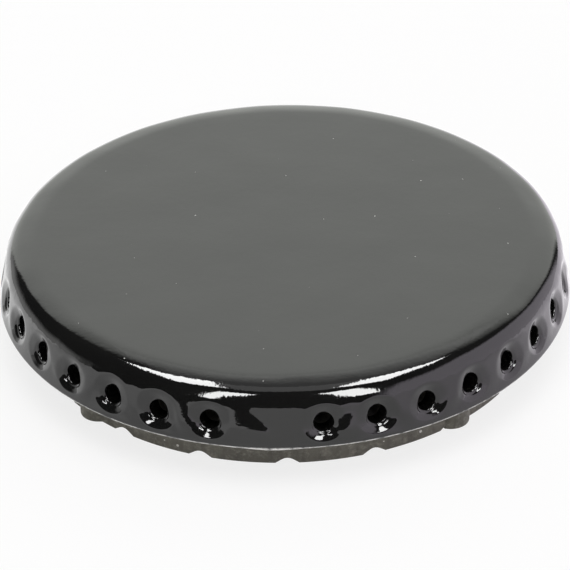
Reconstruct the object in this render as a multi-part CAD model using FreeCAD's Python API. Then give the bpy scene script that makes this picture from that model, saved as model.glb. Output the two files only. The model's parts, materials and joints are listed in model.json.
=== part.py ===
import FreeCAD, Part
import math
import os

# Gas burner cap: one iron casting, enamelled above and bare below.
# A flat round top turns over a soft shoulder into a skirt with a row of flame ports.
# A bare ring under the skirt drops into the burner, centred by four round-faced ribs.
# Lengths are in millimetres and angles in degrees.
# The ring stands on z = 0 and the gap in the row of ports faces -Y.

# Skirt, shoulder and top
skirt_radius = 37.5
skirt_lean = 11.5
cap_height = 7.7
crown_radius = 10.0
crown_lean = 15.0
shoulder_radius = 2.75
skirt_bevel = 0.35

# Bare ring and the chamber inside it
ring_radius = 33.2
ring_height = 5.0
ring_wall = 3.0
top_plate = 2.5
chamber_bevel = 1.0

# Flame ports, square to the leaning skirt
port_count = 33
port_gap = 22.0
port_height = 3.22
port_radius = 1.2

# Gas notches in the lower edge of the ring
notch_count = 19
notch_offset = 3.9
notch_width = 3.0
notch_crown_width = 1.0
notch_depth = 0.76

# Locating ribs on the outside of the ring, in pairs that mirror each other
rib_offset = 44.0
rib_radius = 2.4
rib_reach = 1.1
rib_end_bevel = 0.15

# How far a cutter runs past the face it opens
overrun = 1.0

# Places that follow from the sizes above
top_z = ring_height + cap_height
ceiling_z = top_z - top_plate
chamber_radius = ring_radius - ring_wall
port_z = ring_height + port_height
lean = math.radians(skirt_lean)
crown_turn = math.radians(crown_lean)
skirt_turn = math.pi / 2 - lean
mouth_place = skirt_radius - port_height * math.tan(lean)
axis_start = FreeCAD.Vector(0, 0, 0)
axis_up = FreeCAD.Vector(0, 0, 1)


def section_point(radius, height):
    """A point of the half section, which lies in the XZ plane."""
    return FreeCAD.Vector(radius, 0, height)


def lines_through(points):
    """Straight edges from each point to the next."""
    return [Part.LineSegment(a, b).toShape() for a, b in zip(points, points[1:])]


def round_edge(centre, radius, start, end):
    """An arc about a point of the section; its turns are measured from +Z towards +X."""
    spots = []
    for turn in (start, (start + end) / 2, end):
        spots.append(centre + FreeCAD.Vector(radius * math.sin(turn), 0, radius * math.cos(turn)))
    return Part.Arc(*spots).toShape()


def end_of(edge):
    return edge.Vertexes[-1].Point


def start_of(edge):
    return edge.Vertexes[0].Point


def around(shape, turn):
    """A copy turned about the part's axis, from -Y towards +X."""
    return shape.rotated(axis_start, axis_up, turn - 90)


def crown_and_shoulder():
    """The two tangent rounds that turn the flat top into the leaning skirt."""
    drop = crown_radius * (1 - math.cos(crown_turn))
    drop += shoulder_radius * (math.cos(crown_turn) - math.cos(skirt_turn))
    reach = crown_radius * math.sin(crown_turn)
    reach += shoulder_radius * (math.sin(skirt_turn) - math.sin(crown_turn))
    skirt_top = skirt_radius - (cap_height - drop) * math.tan(lean)
    flat_radius = skirt_top - reach
    crown_centre = section_point(flat_radius, top_z - crown_radius)
    crown = round_edge(crown_centre, crown_radius, 0, crown_turn)
    step = crown_radius - shoulder_radius
    shift = FreeCAD.Vector(step * math.sin(crown_turn), 0, step * math.cos(crown_turn))
    shoulder_centre = crown_centre + shift
    shoulder = round_edge(shoulder_centre, shoulder_radius, crown_turn, skirt_turn)
    return crown, shoulder


def turned_body():
    """The casting without its ports, notches and ribs, turned from its half section."""
    crown, shoulder = crown_and_shoulder()
    skirt_foot = skirt_radius - skirt_bevel * math.tan(lean)
    edges = lines_through([section_point(0, ceiling_z), section_point(0, top_z), start_of(crown)])
    edges += [crown, shoulder]
    edges += lines_through([
        end_of(shoulder),
        section_point(skirt_foot, ring_height + skirt_bevel),
        section_point(skirt_foot - skirt_bevel, ring_height),
        section_point(ring_radius, ring_height),
        section_point(ring_radius, 0),
        section_point(chamber_radius, 0),
        section_point(chamber_radius, ceiling_z - chamber_bevel),
        section_point(chamber_radius - chamber_bevel, ceiling_z),
        section_point(0, ceiling_z),
    ])
    return Part.Face(Part.Wire(edges)).revolve(axis_start, axis_up, 360)


def port_cutter():
    """One port, drilled square to the skirt and through into the chamber."""
    length = mouth_place - chamber_radius + 2 * overrun
    drill = Part.makeCylinder(port_radius, length, section_point(overrun, 0), FreeCAD.Vector(-1, 0, 0))
    drill.rotate(axis_start, FreeCAD.Vector(0, 1, 0), -skirt_lean)
    return drill.translated(section_point(mouth_place, port_z))


def port_cutters():
    """A row of ports round the skirt, left open at the gap."""
    pitch = (360 - port_gap) / (port_count - 1)
    cutter = port_cutter()
    return [around(cutter, port_gap / 2 + place * pitch) for place in range(port_count)]


def notch_cutters():
    """Shallow notches with sloping flanks, cut square through the ring from its lower edge."""
    start = chamber_radius - overrun
    foot = notch_width / 2
    crown = notch_crown_width / 2
    outline = [(-foot, -overrun), (-foot, 0), (-crown, notch_depth)]
    outline += [(crown, notch_depth), (foot, 0), (foot, -overrun), (-foot, -overrun)]
    edges = lines_through([FreeCAD.Vector(start, across, height) for across, height in outline])
    cutter = Part.Face(Part.Wire(edges)).extrude(FreeCAD.Vector(ring_wall + 2 * overrun, 0, 0))
    return [around(cutter, notch_offset + place * 360 / notch_count) for place in range(notch_count)]


def ribs():
    """Round-faced ribs down the outside of the ring, bevelled at the lower end."""
    post_place = ring_radius + rib_reach - rib_radius
    post = Part.makeCylinder(rib_radius, ring_height, section_point(post_place, 0))
    foot_edges = [edge for edge in post.Edges if edge.BoundBox.ZMax < rib_end_bevel / 2]
    post = post.makeChamfer(rib_end_bevel, foot_edges)
    hollow = Part.makeCylinder(ring_radius - ring_wall / 2, ring_height)
    rib = post.cut(hollow)
    turns = (rib_offset, 180 - rib_offset, 180 + rib_offset, -rib_offset)
    return [around(rib, turn) for turn in turns]


def burner_cap():
    """The casting; its ribs run down past the notches to the ring's lower edge."""
    body = turned_body().cut(notch_cutters() + port_cutters())
    return body.fuse(ribs()).removeSplitter()


os.makedirs("parts", exist_ok=True)
burner_cap().exportStep("parts/burner_cap.step")
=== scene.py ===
import json
import math
import random
from collections import namedtuple

import bmesh
import bpy
from mathutils import Matrix, Vector, noise


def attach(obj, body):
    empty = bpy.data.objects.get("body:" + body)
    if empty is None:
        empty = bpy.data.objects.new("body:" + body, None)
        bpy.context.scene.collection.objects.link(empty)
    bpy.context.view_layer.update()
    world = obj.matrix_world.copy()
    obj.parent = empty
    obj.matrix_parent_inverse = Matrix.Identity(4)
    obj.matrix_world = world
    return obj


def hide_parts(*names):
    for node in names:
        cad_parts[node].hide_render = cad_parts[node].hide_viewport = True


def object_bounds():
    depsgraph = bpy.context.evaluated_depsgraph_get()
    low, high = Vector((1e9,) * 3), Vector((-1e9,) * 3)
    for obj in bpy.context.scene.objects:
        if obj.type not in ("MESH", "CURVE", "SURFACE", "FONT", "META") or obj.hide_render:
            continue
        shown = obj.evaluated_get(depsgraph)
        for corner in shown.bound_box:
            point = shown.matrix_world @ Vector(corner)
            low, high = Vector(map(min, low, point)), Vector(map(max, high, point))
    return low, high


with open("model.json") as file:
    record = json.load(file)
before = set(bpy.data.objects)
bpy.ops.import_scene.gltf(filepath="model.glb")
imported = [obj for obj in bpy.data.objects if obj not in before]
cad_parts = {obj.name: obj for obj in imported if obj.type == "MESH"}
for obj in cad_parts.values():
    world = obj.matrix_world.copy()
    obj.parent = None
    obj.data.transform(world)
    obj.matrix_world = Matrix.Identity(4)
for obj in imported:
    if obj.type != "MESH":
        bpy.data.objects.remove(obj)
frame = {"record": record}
cad_low, cad_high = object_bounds()
mounts = {mount["name"]: mount for mount in frame["record"]["mounts"]}

# Lengths are in millimetres and angles in degrees, unless a comment or a name says otherwise.
MM = 0.001

# Skirt, shoulder and top
skirt_radius = 37.5
skirt_lean = 11.5
crown_radius = 10.0
crown_lean = 15.0
shoulder_radius = 2.75
edge_radius = 0.45
widest_radius = cad_high.x / MM
top_z = cad_high.z / MM
seat_z = mounts["seat"]["pos_m"][2] / MM

# Flame ports, square to the leaning skirt. Their bores are enamelled for a share of their length.
port_count = 33
port_gap = 22.0
port_height = 3.22
port_radius = 1.2
glazed_share = 0.35

# Dished enamel round the mouths of the ports. A dish has a half width and a slope that eases in over a
# share of its width. The mouths differ by a small share, and a few reach higher than the rest.
Dish = namedtuple("Dish", "half slope")
dish_side = Dish(3.1, 13.0)
dish_above = Dish(2.9, 23.0)
dish_below = Dish(2.35, 29.0)
dish_rim = 0.5
dish_spread = 0.04
dish_widths = (-1, 0.6)
dish_heights = (-1, 1)
dish_seed = 11
taller_dishes = {30: 1.2, 31: 1.15}

# The lip from a dish into its bore: bends that end at one tilt above the port and at another below it. At
# the level of the port's axis the lower tilt has a share, which changes up and down from there.
LipBend = namedtuple("LipBend", "radius above below")
lip_bends = [LipBend(0.75, 34.0, 50.0), LipBend(0.3, 27.0, 15.0), LipBend(0.32, 90.0, 90.0)]
lip_below_share = 0.35
lip_share_change = 0.75

# Bare ring, its notches and ribs, and the chamber inside it
ring_radius = 33.2
ring_edge = 0.08
ring_fillet = 0.4
chamber_radius = mounts["chamber"]["dims"]["r_mm"]
chamber_fillet = 1.0
top_plate = 2.5
notch_count = 19
notch_offset = 3.9
notch_width = 3.0
notch_depth = 0.76
rib_turns = (44.0, 136.0, 224.0, 316.0)
rib_radius = 2.4
rib_height = 1.1
rib_end = 0.15

# Slow unevenness of the poured enamel, and its sag below the skirt's edge at the front
swell_height = 0.09
swell_length = 5.0
swell_fade_below = 1.0
swell_fade_above = 2.0
drip_height = 0.2
drip_turn = 1.0
drip_spread = 3.5
drip_fade = 1.0

# Runs of enamel on the skirt. A run stands out most at its crest and fades over a flank above it. Its turn
# shifts and its half width spreads with each millimetre down the skirt.
Run = namedtuple("Run", "turn shift crest height half spread flank")
front_runs = [Run(-15.9, 0.4, -0.7, 0.42, 1.6, 0.1, 3.0),
              Run(-4.2, 0.5, -0.65, 0.42, 3.2, 0.8, 2.9),
              Run(14.9, -0.15, -0.95, 0.32, 2.0, 0.1, 1.8)]
run_crest_round = 0.3
run_side_share = 0.85
small_run_seed = 5
small_run_turns = (-0.8, 0.8)
small_run_shifts = (-1.0, 1.0)
small_run_crests = (-0.7, -0.3)
small_run_heights = (0.02, 0.16)
small_run_halves = (1.2, 1.8)
small_run_flank = 2.3

# How finely the skin is divided. The bands that the ports open in reach from a low to a high line, measured
# along the skirt from the ports' axis outside and up from the floor inside.
skin_band = (-2.5, 3.6)
wall_band = (4.4, 9.0)
side_steps = 14
dish_shares = (0.0, 0.1, 0.2, 0.3, 0.4, 0.55, 0.75, 1.0)
lip_steps = 5
bore_shares = (glazed_share, 0.7, 1.0)
wall_shares = (0.4, 0.75)
shoulder_rows = 6
crown_rows = 9
foot_rows = 3
edge_rows = 8
ring_step = 0.9
ring_shares = (0.8, 0.6, 0.42, 0.28, 0.17, 0.09, 0.04, 0.0)
sole_shares = (0.35, 0.65)
notch_columns = 8
rib_shares = (-1.02, -1.0, -0.9, -0.75, -0.6, -0.4, -0.2, 0.0, 0.2, 0.4, 0.6, 0.75, 0.9, 1.0, 1.02)
quarter_bends = (0, 30, 60, 90)

# Rings of a flat disc: a share of its radius, and the step between the points kept of the ring before
disc_rings = [(0.96, 1), (0.9, 1), (0.8, 2), (0.65, 2), (0.5, 2), (0.35, 2), (0.2, 3)]

# Colours of the enamel, the bare iron and the floor
enamel_tones = ((0.004, 0.004, 0.004), (0.007, 0.007, 0.0065))
# Painted highlight: the light colour of the band along the skirt's lower edge, where the enamel runs thin
edge_highlight_tone = (0.85, 0.84, 0.81)
dust_tone = (0.42, 0.42, 0.4)
iron_tones = ((0.092, 0.087, 0.071), (0.17, 0.162, 0.133))
mottle_tone = (0.285, 0.276, 0.235)
speck_tone = (0.75, 0.74, 0.7)
paper_tone = (0.93, 0.93, 0.92)
white = (1.0, 1.0, 1.0)

# Where a light band is painted along the thin, worn enamel of the lower edge as a highlight, as heights
# above the seat, and how far below the top dust may lie
edge_highlight_from = 0.42
edge_highlight_to = 0.22
dust_depth = 0.5

# The floor, in metres, lightened by a share. In reflections it glows with painted light that differs from
# front to back and from left to right over a square round the part, at places given as shares of the
# square's side.
floor_radius = 2.5
floor_segments = 96
floor_share = 0.8
floor_half_side = 0.1
floor_depth_glow_levels = [(0.05, 0.86), (0.28, 0.8), (0.4, 0.94), (0.45, 1.08), (0.5, 1.5)]
floor_side_glow_tones = [(0.25, (1.3, 1.3, 1.3)), (0.31, white), (0.6, white), (0.8, (1.32, 1.24, 1.36))]

# The studio's walls. A wall fades in between two limits of how far a direction points along its facing.
Wall = namedtuple("Wall", "tone limits")
Limit = namedtuple("Limit", "facing start end")
to_back, to_right = (0.0, 1.0, 0.0), (1.0, 0.0, 0.0)
to_left, to_floor = (-1.0, 0.0, 0.0), (0.0, 0.0, -1.0)
back_wall = Wall((1.31, 1.34, 1.28), [Limit(to_back, 0.46, 0.76), Limit((0.5, 1.0, 0.0), 0.4, 0.48),
                                      Limit(to_left, -0.58, -0.48)])
right_wall = Wall((1.25, 1.17, 1.29), [Limit(to_right, 0.57, 0.69)])
left_wall = Wall((0.9, 0.9, 0.89), [Limit(to_left, 0.5, 0.7), Limit(to_floor, -0.42, -0.12),
                                    Limit(to_back, -0.35, -0.05)])
dark_tone = (0.045, 0.045, 0.045)

# Camera, as fitted to the photograph
camera_azimuth = 4.05
camera_elevation = 32.93
camera_roll = -1.16
camera_distance = 388.9
camera_lens = 186.4
camera_aim = Vector((0.05, 0.0, 4.64))
camera_near_metres = 0.01

# The two finishes, as places in the piece's list of materials
ENAMEL, BARE = 0, 1

# Places that follow from the sizes above, with their angles in radians
lean = math.radians(skirt_lean)
crown_turn = math.radians(crown_lean)
skirt_turn = math.pi / 2 - lean
port_z = seat_z + port_height
mouth_radius = skirt_radius - port_height * math.tan(lean)
first_port = math.radians(port_gap) / 2
pitch = (math.tau - math.radians(port_gap)) / (port_count - 1)
ceiling_z = top_z - top_plate
rib_axis = ring_radius + rib_height - rib_radius
rib_half = math.acos((ring_radius ** 2 + rib_axis ** 2 - rib_radius ** 2) / (2 * ring_radius * rib_axis))

# The skin's half section is followed by the distance along it, up from the axis of the ports.
skirt_top_z = top_z - crown_radius * (1 - math.cos(crown_turn))
skirt_top_z -= shoulder_radius * (math.cos(crown_turn) - math.cos(skirt_turn))
skirt_top_radius = skirt_radius - (skirt_top_z - seat_z) * math.tan(lean)
crown_start_radius = skirt_top_radius - shoulder_radius * (math.sin(skirt_turn) - math.sin(crown_turn))
flat_radius = crown_start_radius - crown_radius * math.sin(crown_turn)
shoulder_start = (skirt_top_z - port_z) / math.cos(lean)
crown_start = shoulder_start + shoulder_radius * (skirt_turn - crown_turn)
flat_start = crown_start + crown_radius * crown_turn
edge_start = (seat_z + edge_radius * (1 + math.sin(lean)) - port_z) / math.cos(lean)
edge_centre = skirt_radius - edge_radius * (math.tan(lean) + 1 / math.cos(lean))
skin_end = edge_start - edge_radius * (math.pi - skirt_turn)


def meridian(along):
    """Radius, height and tilt of the outward normal at a distance along the half section."""
    if along >= flat_start:
        return flat_radius - (along - flat_start), top_z, 0.0
    if along >= crown_start:
        turn = (flat_start - along) / crown_radius
        radius = flat_radius + crown_radius * math.sin(turn)
        return radius, top_z - crown_radius * (1 - math.cos(turn)), turn
    if along >= shoulder_start:
        turn = crown_turn + (crown_start - along) / shoulder_radius
        radius = skirt_top_radius + shoulder_radius * (math.sin(turn) - math.sin(skirt_turn))
        return radius, skirt_top_z + shoulder_radius * (math.cos(turn) - math.cos(skirt_turn)), turn
    if along >= edge_start:
        return mouth_radius - along * math.sin(lean), port_z + along * math.cos(lean), skirt_turn
    turn = skirt_turn + (edge_start - along) / edge_radius
    radius = edge_centre + edge_radius * math.sin(turn)
    return radius, seat_z + edge_radius * (1 + math.cos(turn)), turn


def place(radius, angle, height):
    """A point at an angle about the axis, from the front towards +X."""
    return Vector((radius * math.sin(angle), -radius * math.cos(angle), height))


def direction(azimuth, elevation):
    """A vector of length 1 at angles in degrees, from the front towards +X and up from the floor."""
    height = math.radians(elevation)
    return place(math.cos(height), math.radians(azimuth), math.sin(height))


def ease(share):
    share = min(max(share, 0.0), 1.0)
    return share * share * (3 - 2 * share)


def swell(along, spot):
    """How far the enamel lies under its full thickness, because it was poured and fired."""
    fade = ease((along - edge_start) / swell_fade_below) * ease((flat_start - along) / swell_fade_above)
    wave = noise.noise(spot / swell_length)
    return -swell_height * fade * (0.5 + 0.5 * wave)


def all_runs():
    """The runs of enamel: the front ones as photographed, small ones at random between the other ports."""
    draw = random.Random(small_run_seed)
    found = list(front_runs)
    for sector in range(1, port_count - 2):
        turn = math.degrees(first_port + (sector + 0.5) * pitch) + draw.uniform(*small_run_turns)
        shift = draw.uniform(*small_run_shifts)
        crest = draw.uniform(*small_run_crests)
        height = draw.uniform(*small_run_heights)
        half = draw.uniform(*small_run_halves)
        found.append(Run(turn, shift, crest, height, half, 0.0, small_run_flank))
    return found


runs = all_runs()


def run_height(along, angle):
    """How far the runs of enamel stand out: soft sides, a rounded crest and straight flanks."""
    total = 0.0
    for run in runs:
        middle = math.radians(run.turn - run.shift * along)
        across = abs(math.remainder(angle - middle, math.tau)) * mouth_radius
        half = run.half - run.spread * along
        if across < half:
            flank = run.flank if along > run.crest else run.crest - edge_start
            fall = (math.hypot(along - run.crest, run_crest_round) - run_crest_round) / flank
            total += run.height * ease((half - across) / (run_side_share * half)) * max(0.0, 1 - fall)
    return total


def drip(along, angle):
    """How far the enamel sags below the skirt's edge at the front."""
    off = math.remainder(angle - math.radians(drip_turn), math.tau) / math.radians(drip_spread)
    return drip_height * math.exp(-off * off / 2) * ease((edge_start + drip_fade - along) / drip_fade)


def skin_spot(along, angle, depth=0.0):
    """A point of the enamelled skin, sunk by a depth along the normal and kept inside the solid's width."""
    radius, height, turn = meridian(along)
    out = swell(along, place(radius, angle, height)) + run_height(along, angle) - depth
    height -= drip(along, angle)
    reach = min(radius + out * math.sin(turn), widest_radius)
    return place(reach, angle, height + out * math.cos(turn))


def wall_spot(height, turn):
    """A point of the chamber's wall."""
    return place(chamber_radius, turn, height)


class Shell:
    """The vertices and faces of the casting as they are made."""

    def __init__(self):
        self.spots = []
        self.faces = []
        self.finishes = []

    def loop(self, spots):
        first = len(self.spots)
        self.spots += spots
        return list(range(first, len(self.spots)))

    def face(self, corners, finish):
        self.faces.append(corners)
        self.finishes.append(finish)

    def strip(self, one, other, finish, closed=True):
        """Quads between two rows with as many points."""
        last = len(one) if closed else len(one) - 1
        for i in range(last):
            k = (i + 1) % len(one)
            self.face((one[i], one[k], other[k], other[i]), finish)

    def grow(self, row, spots, finish):
        """Quads from a closed row to a new one at as many points. Returns the new row."""
        next_row = self.loop(spots)
        self.strip(row, next_row, finish)
        return next_row

    def seam(self, one, one_turns, other, other_turns, finish):
        """Triangles between two closed rows with different numbers of points."""
        i, j = 0, 0
        one_ends = one_turns[1:] + [one_turns[0] + math.tau]
        other_ends = other_turns[1:] + [other_turns[0] + math.tau]
        while i < len(one) or j < len(other):
            here, there = one[i % len(one)], other[j % len(other)]
            if j == len(other) or (i < len(one) and one_ends[i] <= other_ends[j]):
                self.face((here, one[(i + 1) % len(one)], there), finish)
                i += 1
            else:
                self.face((here, other[(j + 1) % len(other)], there), finish)
                j += 1

    def disc(self, row, turns, radius, height, finish):
        """A flat disc inside a closed row, with fewer points towards its centre."""
        for share, step in disc_rings:
            inner_turns = turns[::step]
            inner = self.loop([place(radius * share, turn, height) for turn in inner_turns])
            self.seam(row, turns, inner, inner_turns, finish)
            row, turns = inner, inner_turns
        centre = self.loop([Vector((0.0, 0.0, height))])[0]
        for i in range(len(row)):
            self.face((row[i], row[(i + 1) % len(row)], centre), finish)


def sectors():
    """Start and width of each port's share of the skirt, and of the gap's, which comes last."""
    starts = [first_port + (place_in_row - 0.5) * pitch for place_in_row in range(port_count)]
    spans = [(start, pitch) for start in starts]
    spans.append((starts[-1] + pitch, math.radians(port_gap) - pitch))
    return spans


def column_turns():
    return [start + width * i / side_steps for start, width in sectors() for i in range(side_steps)]


def steps_between(low, high, count):
    """The places that divide a span into equal steps, without its two ends."""
    return [low + (high - low) * i / count for i in range(1, count)]


class Band:
    """A band round the casting, divided into the sectors: its rows and the lines between sectors."""

    def __init__(self, shell, low, high, spot_at):
        turns = column_turns()
        self.heights = [low] + steps_between(low, high, side_steps) + [high]
        self.lower = shell.loop([spot_at(low, turn) for turn in turns])
        self.upper = shell.loop([spot_at(high, turn) for turn in turns])
        inner = self.heights[1:-1]
        self.sides = [shell.loop([spot_at(height, start) for height in inner]) for start, _ in sectors()]

    def outline(self, sector):
        """The points round one sector and, for each, its turn and height."""
        start, width = sectors()[sector]
        first = sector * side_steps
        last = (first + side_steps) % len(self.lower)
        turns = [start + width * i / side_steps for i in range(side_steps + 1)]
        low, high = self.heights[0], self.heights[-1]
        inner = range(first + 1, first + side_steps)
        near, far = self.sides[sector], self.sides[(sector + 1) % len(self.sides)]
        row = [self.lower[first]] + [self.lower[i] for i in inner]
        row += [self.lower[last]] + far
        row += [self.upper[last]] + [self.upper[i] for i in reversed(inner)]
        row += [self.upper[first]] + near[::-1]
        spots = [(turn, low) for turn in turns[:-1]]
        spots += [(turns[-1], height) for height in self.heights[:-1]]
        spots += [(turn, high) for turn in turns[:0:-1]]
        spots += [(turns[0], height) for height in self.heights[:0:-1]]
        return row, spots

    def fill(self, shell, sector, spot_at, finish):
        """Closes a sector that has no port."""
        start, width = sectors()[sector]
        first = sector * side_steps
        last = (first + side_steps) % len(self.lower)
        near, far = self.sides[sector], self.sides[(sector + 1) % len(self.sides)]
        turns = steps_between(start, start + width, side_steps)
        below = self.lower[first:first + side_steps] + [self.lower[last]]
        for i, height in enumerate(self.heights[1:-1]):
            row = [near[i]] + shell.loop([spot_at(height, turn) for turn in turns]) + [far[i]]
            shell.strip(below, row, finish, closed=False)
            below = row
        top = self.upper[first:first + side_steps] + [self.upper[last]]
        shell.strip(below, top, finish, closed=False)


# One way out from a port's axis over the skin: its heading, the reach and slope of the dish and the edge of
# the sector.
Ray = namedtuple("Ray", "heading rim slope edge")


def port_rays(spots, sector, draw):
    """The rays from a port to the points round its sector."""
    middle = first_port + sector * pitch
    wide = 1 + dish_spread * draw.uniform(*dish_widths)
    tall = 1 + dish_spread * draw.uniform(*dish_heights)
    taller = taller_dishes.get(sector, 1.0)
    above = Dish(dish_above.half * taller, dish_above.slope / taller)
    rays = []
    for turn, along in spots:
        across = (turn - middle) * mouth_radius
        heading = math.atan2(along, across)
        dish = above if along > 0 else dish_below
        flat = math.cos(heading) / (dish_side.half * wide)
        steep = math.sin(heading) / (dish.half * tall)
        rim = 1 / math.hypot(flat, steep)
        slope = dish_side.slope + (dish.slope - dish_side.slope) * math.sin(heading) ** 2
        rays.append(Ray(heading, rim, math.radians(slope), math.hypot(across, along)))
    return rays


def dish_sink(share):
    """Depth under a slope of 1 that eases in at the rim, at a share of the way from rim to lip."""
    eased = min(share / dish_rim, 1.0)
    return dish_rim * (eased ** 3 - eased ** 4 / 2) + max(share - dish_rim, 0.0)


def lip_path(ray, bend, share):
    """Width and depth of the lip from the dish's end, up to a share of one of its bends."""
    across, sunk = 0.0, 0.0
    tilt = ray.slope
    below = ease(lip_below_share - lip_share_change * math.sin(ray.heading))
    for place_in_row, lip in enumerate(lip_bends[:bend + 1]):
        end = math.radians(lip.above + (lip.below - lip.above) * below)
        if place_in_row == bend:
            end = tilt + (end - tilt) * share
        across += lip.radius * abs(math.sin(end) - math.sin(tilt))
        sunk += lip.radius * abs(math.cos(end) - math.cos(tilt))
        tilt = end
    return across, sunk


def in_dish(ray, share):
    """Reach and depth at a share of the way from the dish's rim to its lip."""
    width = ray.rim - port_radius - lip_path(ray, len(lip_bends), 0.0)[0]
    return ray.rim - width * share, width * math.tan(ray.slope) * dish_sink(share)


def on_lip(ray, bend, share):
    """Reach and depth at a share of one of the lip's bends."""
    start, depth = in_dish(ray, 1.0)
    across, sunk = lip_path(ray, bend, share)
    return start - across, depth + sunk


def port_mouth(shell, band, sector, draw):
    """The dished skin round one port, its rounded lip and its bore. Returns the bore's inner end."""
    row, spots = band.outline(sector)
    rays = port_rays(spots, sector, draw)
    middle = first_port + sector * pitch
    rings = [[((ray.edge + ray.rim) / 2, 0.0) for ray in rays]]
    rings += [[in_dish(ray, share) for ray in rays] for share in dish_shares]
    for bend in range(len(lip_bends)):
        for step in range(1, lip_steps + 1):
            rings.append([on_lip(ray, bend, step / lip_steps) for ray in rays])
    for ring in rings:
        made = []
        for ray, (reach, depth) in zip(rays, ring):
            angle = middle + reach * math.cos(ray.heading) / mouth_radius
            made.append(skin_spot(reach * math.sin(ray.heading), angle, depth))
        row = shell.grow(row, made, ENAMEL)
    inward = -place(math.cos(lean), middle, math.sin(lean))
    starts = [shell.spots[i] for i in row]
    ends = [to_chamber(start, inward) for start in starts]
    for share in bore_shares:
        finish = ENAMEL if share <= glazed_share else BARE
        row = shell.grow(row, [start.lerp(end, share) for start, end in zip(starts, ends)], finish)
    return row


def to_chamber(spot, inward):
    """Where a line from a point meets the chamber's wall."""
    flat_spot, flat_way = spot.xy, inward.xy
    half = flat_spot.dot(flat_way) / flat_way.length_squared
    rest = (flat_spot.length_squared - chamber_radius ** 2) / flat_way.length_squared
    return spot + inward * (-half - math.sqrt(half * half - rest))


def wall_round_port(shell, band, sector, bore_end):
    """The chamber's wall between one sector's outline and the end of its bore."""
    row, spots = band.outline(sector)
    middle = first_port + sector * pitch
    for share in wall_shares:
        made = []
        for (turn, height), index in zip(spots, bore_end):
            end = shell.spots[index]
            bore_turn = middle + math.remainder(math.atan2(end.x, -end.y) - middle, math.tau)
            made.append(wall_spot(height + (end.z - height) * share, turn + (bore_turn - turn) * share))
        row = shell.grow(row, made, BARE)
    shell.strip(row, bore_end, BARE)


def notch_rise(turn):
    """Height of the ring's lower edge. The middle half of a notch is a parabola, its flanks are straight."""
    step = math.tau / notch_count
    off = math.remainder(turn - math.radians(notch_offset), step) * ring_radius
    half = notch_width / 4
    slope = notch_depth / (1.5 * half)
    if abs(off) < half:
        return notch_depth - slope * off * off / (2 * half)
    return max(0.0, slope * (2 * half - abs(off)))


def rib_reach(turn, height):
    """How far a rib stands out of the ring at a turn and height."""
    off = min(abs(math.remainder(turn - math.radians(middle), math.tau)) for middle in rib_turns)
    low = max(0.0, 1 - height / rib_end)
    radius = rib_radius - rib_end * (1 - math.sqrt(1 - low * low))
    side = rib_axis * math.sin(off)
    if off > rib_half or side > radius:
        return 0.0
    return max(0.0, rib_axis * math.cos(off) + math.sqrt(radius ** 2 - side ** 2) - ring_radius)


def ring_turns():
    """Turns of the ring's columns: close together at notches and ribs, even elsewhere."""
    offs = []
    for i in range(notch_count):
        middle = math.radians(notch_offset) + i * math.tau / notch_count
        columns = range(-notch_columns - 1, notch_columns + 2)
        offs += [middle + k / notch_columns * notch_width / 2 / ring_radius for k in columns]
    for middle in rib_turns:
        offs += [math.radians(middle) + rib_half * share for share in rib_shares]
    start = sectors()[0][0]
    offs = sorted((off - start) % math.tau for off in offs)
    turns = []
    for off, after in zip(offs, offs[1:] + [offs[0] + math.tau]):
        count = max(1, math.ceil((after - off) * ring_radius / ring_step))
        turns += [start + off] + [start + between for between in steps_between(off, after, count)]
    return turns


def ring_outside(turns, foot):
    """Rows down the ring's outside: the fillet under the skirt, the wall with its ribs, the lower edge."""
    rows = []
    for bend in quarter_bends:
        turn = math.radians(bend)
        height = seat_z - ring_fillet * (1 - math.cos(turn))
        out = ring_fillet * (1 - math.sin(turn))
        rows.append([place(ring_radius + rib_reach(t, height) + out, t, height) for t in turns])
    for share in ring_shares:
        row = []
        for t, low in zip(turns, foot):
            height = low + (seat_z - ring_fillet - low) * share
            row.append(place(ring_radius + rib_reach(t, height), t, height))
        rows.append(row)
    for bend in quarter_bends[1:]:
        turn = math.radians(bend)
        row = []
        for t, low in zip(turns, foot):
            height = low - ring_edge * math.sin(turn)
            radius = ring_radius + rib_reach(t, height) - ring_edge * (1 - math.cos(turn))
            row.append(place(radius, t, height))
        rows.append(row)
    return rows


def ring_inside(turns, foot):
    """Rows up the inside of the ring: its lower edge and the wall up to the band of the bores."""
    rows = []
    for bend in reversed(quarter_bends):
        turn = math.radians(bend)
        radius = chamber_radius + ring_edge * (1 - math.cos(turn))
        rows.append([place(radius, t, low - ring_edge * math.sin(turn)) for t, low in zip(turns, foot)])
    rows.append([wall_spot((low + wall_band[0]) / 2, t) for t, low in zip(turns, foot)])
    return rows


def add_ring(shell, skin_row, skin_turns, wall_row):
    """The bare ring, from the skirt's edge to the band of the bores. Its ribs run down past the notches."""
    turns = ring_turns()
    foot = [notch_rise(t) + ring_edge for t in turns]
    outer_foot = [ring_edge if rib_reach(t, seat_z) > 0 else low for t, low in zip(turns, foot)]
    rows = ring_outside(turns, outer_foot)
    for share, feet in zip(sole_shares, (outer_foot, foot)):
        radius = ring_radius + (chamber_radius - ring_radius) * share
        rows.append([place(radius, t, low - ring_edge) for t, low in zip(turns, feet)])
    rows += ring_inside(turns, foot)
    rows = [shell.loop(row) for row in rows]
    shell.seam(skin_row, skin_turns, rows[0], turns, BARE)
    for one, other in zip(rows, rows[1:]):
        shell.strip(one, other, BARE)
    shell.seam(rows[-1], turns, wall_row, skin_turns, BARE)


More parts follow.
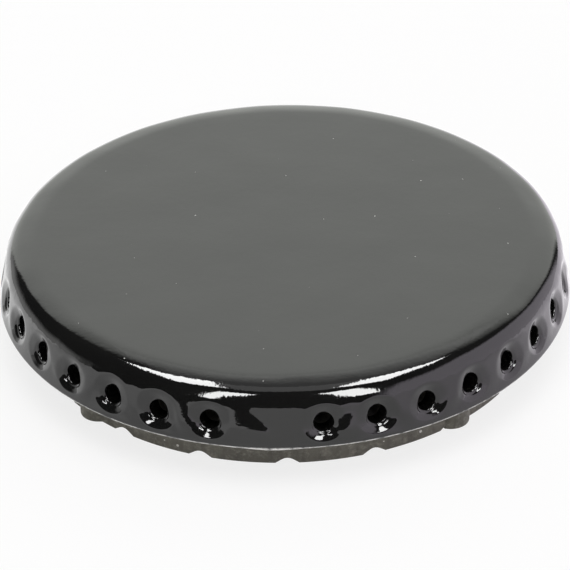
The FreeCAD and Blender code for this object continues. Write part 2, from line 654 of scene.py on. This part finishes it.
def casting():
    """The whole casting as one closed skin."""
    shell = Shell()
    turns = column_turns()
    skin = Band(shell, *skin_band, skin_spot)
    wall = Band(shell, *wall_band, wall_spot)
    draw = random.Random(dish_seed)
    for sector in range(port_count):
        bore_end = port_mouth(shell, skin, sector, draw)
        wall_round_port(shell, wall, sector, bore_end)
    skin.fill(shell, port_count, skin_spot, ENAMEL)
    wall.fill(shell, port_count, wall_spot, BARE)

    row = skin.upper
    alongs = steps_between(skin_band[1], crown_start, shoulder_rows) + [crown_start]
    alongs += steps_between(crown_start, flat_start, crown_rows) + [flat_start]
    for along in alongs:
        row = shell.grow(row, [skin_spot(along, turn) for turn in turns], ENAMEL)
    shell.disc(row, turns, flat_radius, top_z, ENAMEL)

    row = skin.lower
    alongs = steps_between(skin_band[0], edge_start, foot_rows) + [edge_start]
    alongs += steps_between(edge_start, skin_end, edge_rows) + [skin_end]
    for along in alongs:
        row = shell.grow(row, [skin_spot(along, turn) for turn in turns], ENAMEL)
    add_ring(shell, row, turns, wall.lower)

    row = wall.upper
    for bend in quarter_bends:
        turn = math.radians(bend)
        radius = chamber_radius - chamber_fillet * (1 - math.cos(turn))
        height = ceiling_z - chamber_fillet * (1 - math.sin(turn))
        row = shell.grow(row, [place(radius, t, height) for t in turns], BARE)
    shell.disc(row, turns, chamber_radius - chamber_fillet, ceiling_z, BARE)
    return shell


def make_piece(name, shell, materials):
    mesh = bpy.data.meshes.new(name)
    mesh.from_pydata([spot * MM for spot in shell.spots], [], shell.faces)
    for material in materials:
        mesh.materials.append(material)
    mesh.polygons.foreach_set("material_index", shell.finishes)
    mesh.polygons.foreach_set("use_smooth", [True] * len(mesh.polygons))
    body = bmesh.new()
    body.from_mesh(mesh)
    bmesh.ops.recalc_face_normals(body, faces=body.faces)
    body.to_mesh(mesh)
    body.free()
    piece = bpy.data.objects.new(name, mesh)
    bpy.context.scene.collection.objects.link(piece)
    return piece


def opaque(tone):
    return (*tone, 1.0)


def grey(level):
    return (level, level, level)


class Nodes:
    """A material's or world's node tree, with short ways to add and join nodes."""

    def __init__(self, owner):
        owner.use_nodes = True
        self.tree = owner.node_tree
        self.tree.nodes.clear()

    def add(self, kind, inputs=None, **settings):
        node = self.tree.nodes.new("ShaderNode" + kind)
        for key, value in settings.items():
            setattr(node, key, value)
        for key, value in (inputs or {}).items():
            if isinstance(value, bpy.types.NodeSocket):
                self.tree.links.new(value, node.inputs[key])
            else:
                node.inputs[key].default_value = value
        return node

    def noise(self, spot, scale, detail, roughness=0.5):
        inputs = {"Vector": spot, "Scale": scale, "Detail": detail, "Roughness": roughness}
        return self.add("TexNoise", inputs).outputs["Fac"]

    def ramp(self, factor, stops):
        node = self.add("ValToRGB", {"Fac": factor})
        elements = node.color_ramp.elements
        while len(elements) < len(stops):
            elements.new(0.5)
        for element, (position, tone) in zip(elements, stops):
            element.position = position
            element.color = opaque(tone)
        return node.outputs["Color"]

    def spread(self, value, start, end, **settings):
        """A value's place between a start and an end, from 0 to 1."""
        inputs = {"Value": value, "From Min": start, "From Max": end}
        return self.add("MapRange", inputs, **settings).outputs["Result"]

    def math(self, operation, one, other):
        return self.add("Math", {0: one, 1: other}, operation=operation).outputs["Value"]

    def vector(self, operation, one, other):
        return self.add("VectorMath", {0: one, 1: other}, operation=operation)

    def blend(self, share, under, over):
        node = self.add("Mix", {"Factor": share}, data_type="RGBA")
        for socket, value in ((node.inputs[6], under), (node.inputs[7], over)):
            if isinstance(value, bpy.types.NodeSocket):
                self.tree.links.new(value, socket)
            else:
                socket.default_value = opaque(value)
        return node.outputs[2]

    def height(self, spot):
        return self.add("SeparateXYZ", {"Vector": spot}).outputs["Z"]

    def bump(self, height, strength, distance, under=None):
        inputs = {"Height": height, "Strength": strength, "Distance": distance}
        if under:
            inputs["Normal"] = under
        return self.add("Bump", inputs).outputs["Normal"]


def enamel_material():
    """Glossy black vitreous enamel: slow waves, faint orange peel, fine grit, a painted highlight along the
    thin worn edge and dust.
    """
    material = bpy.data.materials.new("black_enamel")
    nodes = Nodes(material)
    spot = nodes.add("TexCoord").outputs["Object"]
    waves = nodes.noise(spot, scale=90.0, detail=1.0)
    peel = nodes.noise(spot, scale=700.0, detail=2.0)
    grit = nodes.noise(spot, scale=3000.0, detail=1.0)
    tone = nodes.ramp(waves, [(0.3, enamel_tones[0]), (0.7, enamel_tones[1])])
    # Painted highlight: a light band along the skirt's lower edge, where the enamel is thin
    tone = nodes.blend(painted_edge_highlight(nodes, spot), tone, edge_highlight_tone)
    dust = specks(nodes, spot, scale=170.0, largest=0.016, dimensions="2D")
    dust = nodes.math("MULTIPLY", dust, on_top(nodes, spot))
    tone = nodes.blend(dust, tone, dust_tone)
    gloss = nodes.ramp(peel, [(0.3, grey(0.035)), (0.75, grey(0.07))])
    gloss = nodes.blend(dust, gloss, grey(0.6))
    normal = nodes.bump(waves, strength=0.12, distance=0.001)
    normal = nodes.bump(peel, strength=0.03, distance=0.0004, under=normal)
    normal = nodes.bump(grit, strength=0.15, distance=0.00004, under=normal)
    shader = nodes.add("BsdfPrincipled", {"Base Color": tone, "Roughness": gloss, "IOR": 1.65,
                                          "Normal": normal})
    nodes.add("OutputMaterial", {"Surface": shader.outputs["BSDF"]})
    return material


def painted_edge_highlight(nodes, spot):
    """A painted highlight: a light band, broken into dashes, where the enamel runs out thin along the
    skirt's lower edge.
    """
    near = nodes.spread(nodes.height(spot), (seat_z + edge_highlight_from) * MM, (seat_z + edge_highlight_to) * MM)
    left = nodes.spread(nodes.noise(spot, scale=750.0, detail=4.0), start=0.34, end=0.54)
    return nodes.math("MULTIPLY", near, left)


def specks(nodes, spot, scale, largest, dimensions):
    """Tiny scattered specks: at most one in a cell, and none in most cells."""
    cells = nodes.add("TexVoronoi", {"Vector": spot, "Scale": scale}, voronoi_dimensions=dimensions)
    kept = nodes.add("SeparateColor", {"Color": cells.outputs["Color"]}).outputs["Red"]
    size = nodes.math("MULTIPLY", nodes.spread(kept, start=0.6, end=1.0), largest)
    return nodes.math("LESS_THAN", cells.outputs["Distance"], size)


def on_top(nodes, spot):
    """1 near the height of the flat top, 0 below."""
    return nodes.math("GREATER_THAN", nodes.height(spot), (top_z - dust_depth) * MM)


def bare_material():
    """Unglazed cast iron: warm dark grey with streaks down the wall, mottling, specks and a sandy grain."""
    material = bpy.data.materials.new("bare_iron")
    nodes = Nodes(material)
    spot = nodes.add("TexCoord").outputs["Object"]
    drawn = nodes.add("Mapping", {"Vector": spot, "Scale": (1.0, 1.0, 0.12)}).outputs["Vector"]
    streaks = nodes.noise(drawn, scale=900.0, detail=4.0)
    grain = nodes.noise(spot, scale=2600.0, detail=3.0)
    mottle = nodes.noise(spot, scale=1000.0, detail=6.0, roughness=0.75)
    mottle = nodes.ramp(mottle, [(0.5, grey(0.0)), (0.72, grey(0.9))])
    tone = nodes.ramp(streaks, [(0.25, iron_tones[0]), (0.75, iron_tones[1])])
    tone = nodes.blend(mottle, tone, mottle_tone)
    tone = nodes.blend(specks(nodes, spot, scale=700.0, largest=0.15, dimensions="3D"), tone, speck_tone)
    dull = nodes.ramp(grain, [(0.3, grey(0.5)), (0.7, grey(0.75))])
    normal = nodes.bump(grain, strength=0.35, distance=0.0002)
    shader = nodes.add("BsdfPrincipled", {"Base Color": tone, "Roughness": dull, "Normal": normal})
    nodes.add("OutputMaterial", {"Surface": shader.outputs["BSDF"]})
    return material


def floor_material():
    """White paper, lightened to the camera and in reflections so that its shadow stays faint.

    Inside the ring it stays as dark as it is.
    """
    material = bpy.data.materials.new("pale_floor")
    nodes = Nodes(material)
    paper = nodes.add("BsdfDiffuse", {"Color": opaque(paper_tone)})
    path = nodes.add("LightPath").outputs
    way = nodes.add("TexCoord").outputs["Object"]
    spot = nodes.add("SeparateXYZ", {"Vector": way}).outputs
    # Painted light: in reflections the floor glows brighter towards the back and at the sides, with a tint
    # at the right
    deep = nodes.spread(spot["Y"], -floor_half_side, floor_half_side)
    by_depth = nodes.ramp(deep, [(position, grey(level)) for position, level in floor_depth_glow_levels])
    aside = nodes.spread(spot["X"], -floor_half_side, floor_half_side)
    by_side = nodes.ramp(aside, floor_side_glow_tones)
    reflected = nodes.vector("MULTIPLY", by_depth, by_side).outputs["Vector"]
    glow = nodes.add("Emission", {"Color": nodes.blend(path["Is Glossy Ray"], white, reflected)})
    seen = nodes.math("ADD", path["Is Camera Ray"], path["Is Glossy Ray"])
    radius = nodes.add("VectorMath", {0: way}, operation="LENGTH").outputs["Value"]
    outside = nodes.math("GREATER_THAN", radius, chamber_radius * MM)
    share = nodes.math("MULTIPLY", nodes.math("MULTIPLY", seen, outside), floor_share)
    mix = nodes.add("MixShader", {"Fac": share, 1: paper.outputs[0], 2: glow.outputs[0]})
    nodes.add("OutputMaterial", {"Surface": mix.outputs[0]})
    return material


def add_floor():
    mesh = bpy.data.meshes.new("floor")
    body = bmesh.new()
    bmesh.ops.create_circle(body, cap_ends=True, segments=floor_segments, radius=floor_radius)
    body.to_mesh(mesh)
    body.free()
    mesh.materials.append(floor_material())
    floor = bpy.data.objects.new("floor", mesh)
    bpy.context.scene.collection.objects.link(floor)
    floor.location.z = cad_low.z


def add_world():
    """A pale studio: a bright wall behind and one at each side, dark elsewhere, white to the camera."""
    world = bpy.data.worlds.new("studio")
    bpy.context.scene.world = world
    nodes = Nodes(world)
    way = nodes.add("TexCoord").outputs["Generated"]
    light = dark_tone
    for wall in (back_wall, right_wall, left_wall):
        tone = wall.tone
        for limit in wall.limits:
            turn = nodes.vector("DOT_PRODUCT", way, limit.facing).outputs["Value"]
            share = nodes.spread(turn, limit.start, limit.end, interpolation_type="SMOOTHSTEP")
            tone = nodes.add("VectorMath", {0: tone, "Scale": share}, operation="SCALE").outputs["Vector"]
        light = nodes.vector("MAXIMUM", light, tone).outputs["Vector"]
    studio = nodes.add("Background", {"Color": light})
    to_camera = nodes.add("Background", {"Color": opaque(white)})
    from_camera = nodes.add("LightPath").outputs["Is Camera Ray"]
    mix = nodes.add("MixShader", {"Fac": from_camera, 1: studio.outputs[0], 2: to_camera.outputs[0]})
    nodes.add("OutputWorld", {"Surface": mix.outputs[0]})


def add_lamp(name, spot, width, length, along, radiance, reflected=False):
    """A soft lamp aimed at the part, seen either only in reflections or only by matt surfaces."""
    light = bpy.data.lights.new(name, "AREA")
    light.shape = "RECTANGLE"
    light.size = width
    light.size_y = length
    light.energy = radiance * math.pi * width * length
    lamp = bpy.data.objects.new(name, light)
    away = spot.normalized()
    across = along.cross(away).normalized()
    turn = Matrix((across, away.cross(across), away)).transposed().to_4x4()
    lamp.matrix_world = Matrix.Translation(spot) @ turn
    lamp.visible_glossy = reflected
    lamp.visible_diffuse = not reflected
    bpy.context.scene.collection.objects.link(lamp)


def add_lamps():
    """A broad lamp overhead and a fill for matt surfaces, and the lamps that show in the enamel.

    Places and sizes are in metres.
    """
    upward, backward = Vector((0.0, 0.0, 1.0)), Vector((0.0, 1.0, 0.0))
    add_lamp("key", Vector((0.0, 0.0, 1.2)), 1.2, 1.2, backward, 2.7)
    add_lamp("fill", place(0.8, math.radians(-35.0), 0.11), 0.4, 0.4, upward, 2.8)
    softbox = 14.0
    add_lamp("softbox_front_left", direction(-26.0, 46.0), 0.14, 0.72, upward, softbox, True)
    add_lamp("softbox_front_right", direction(35.0, 46.0), 0.2, 0.66, upward, softbox, True)
    add_lamp("softbox_back_left", Vector((-0.29, 0.23, 1.0)), 0.2, 0.47, backward, softbox, True)
    add_lamp("softbox_back_right", Vector((0.27, 0.2, 1.0)), 0.2, 0.47, backward, softbox, True)
    add_lamp("ceiling_front", Vector((0.0, 0.115, 1.0)), 0.34, 0.47, backward, 0.7, True)
    add_lamp("ceiling_back", Vector((0.0, 0.6, 1.0)), 0.6, 0.48, backward, 0.34, True)


def add_camera():
    back = direction(camera_azimuth, camera_elevation)
    camera = bpy.data.objects.new("camera", bpy.data.cameras.new("camera"))
    camera.data.lens = camera_lens
    camera.data.clip_start = camera_near_metres
    bpy.context.scene.collection.objects.link(camera)
    turn = back.to_track_quat("Z", "Y").to_matrix().to_4x4()
    turn = turn @ Matrix.Rotation(math.radians(camera_roll), 4, "Z")
    camera.matrix_world = Matrix.Translation((camera_aim + back * camera_distance) * MM) @ turn
    bpy.context.scene.camera = camera


bpy.context.scene.view_settings.view_transform = "Standard"
cap = make_piece("burner_cap_enamelled", casting(), [enamel_material(), bare_material()])
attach(cap, "root")
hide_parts("burner_cap")

add_floor()
add_world()
add_lamps()
add_camera()
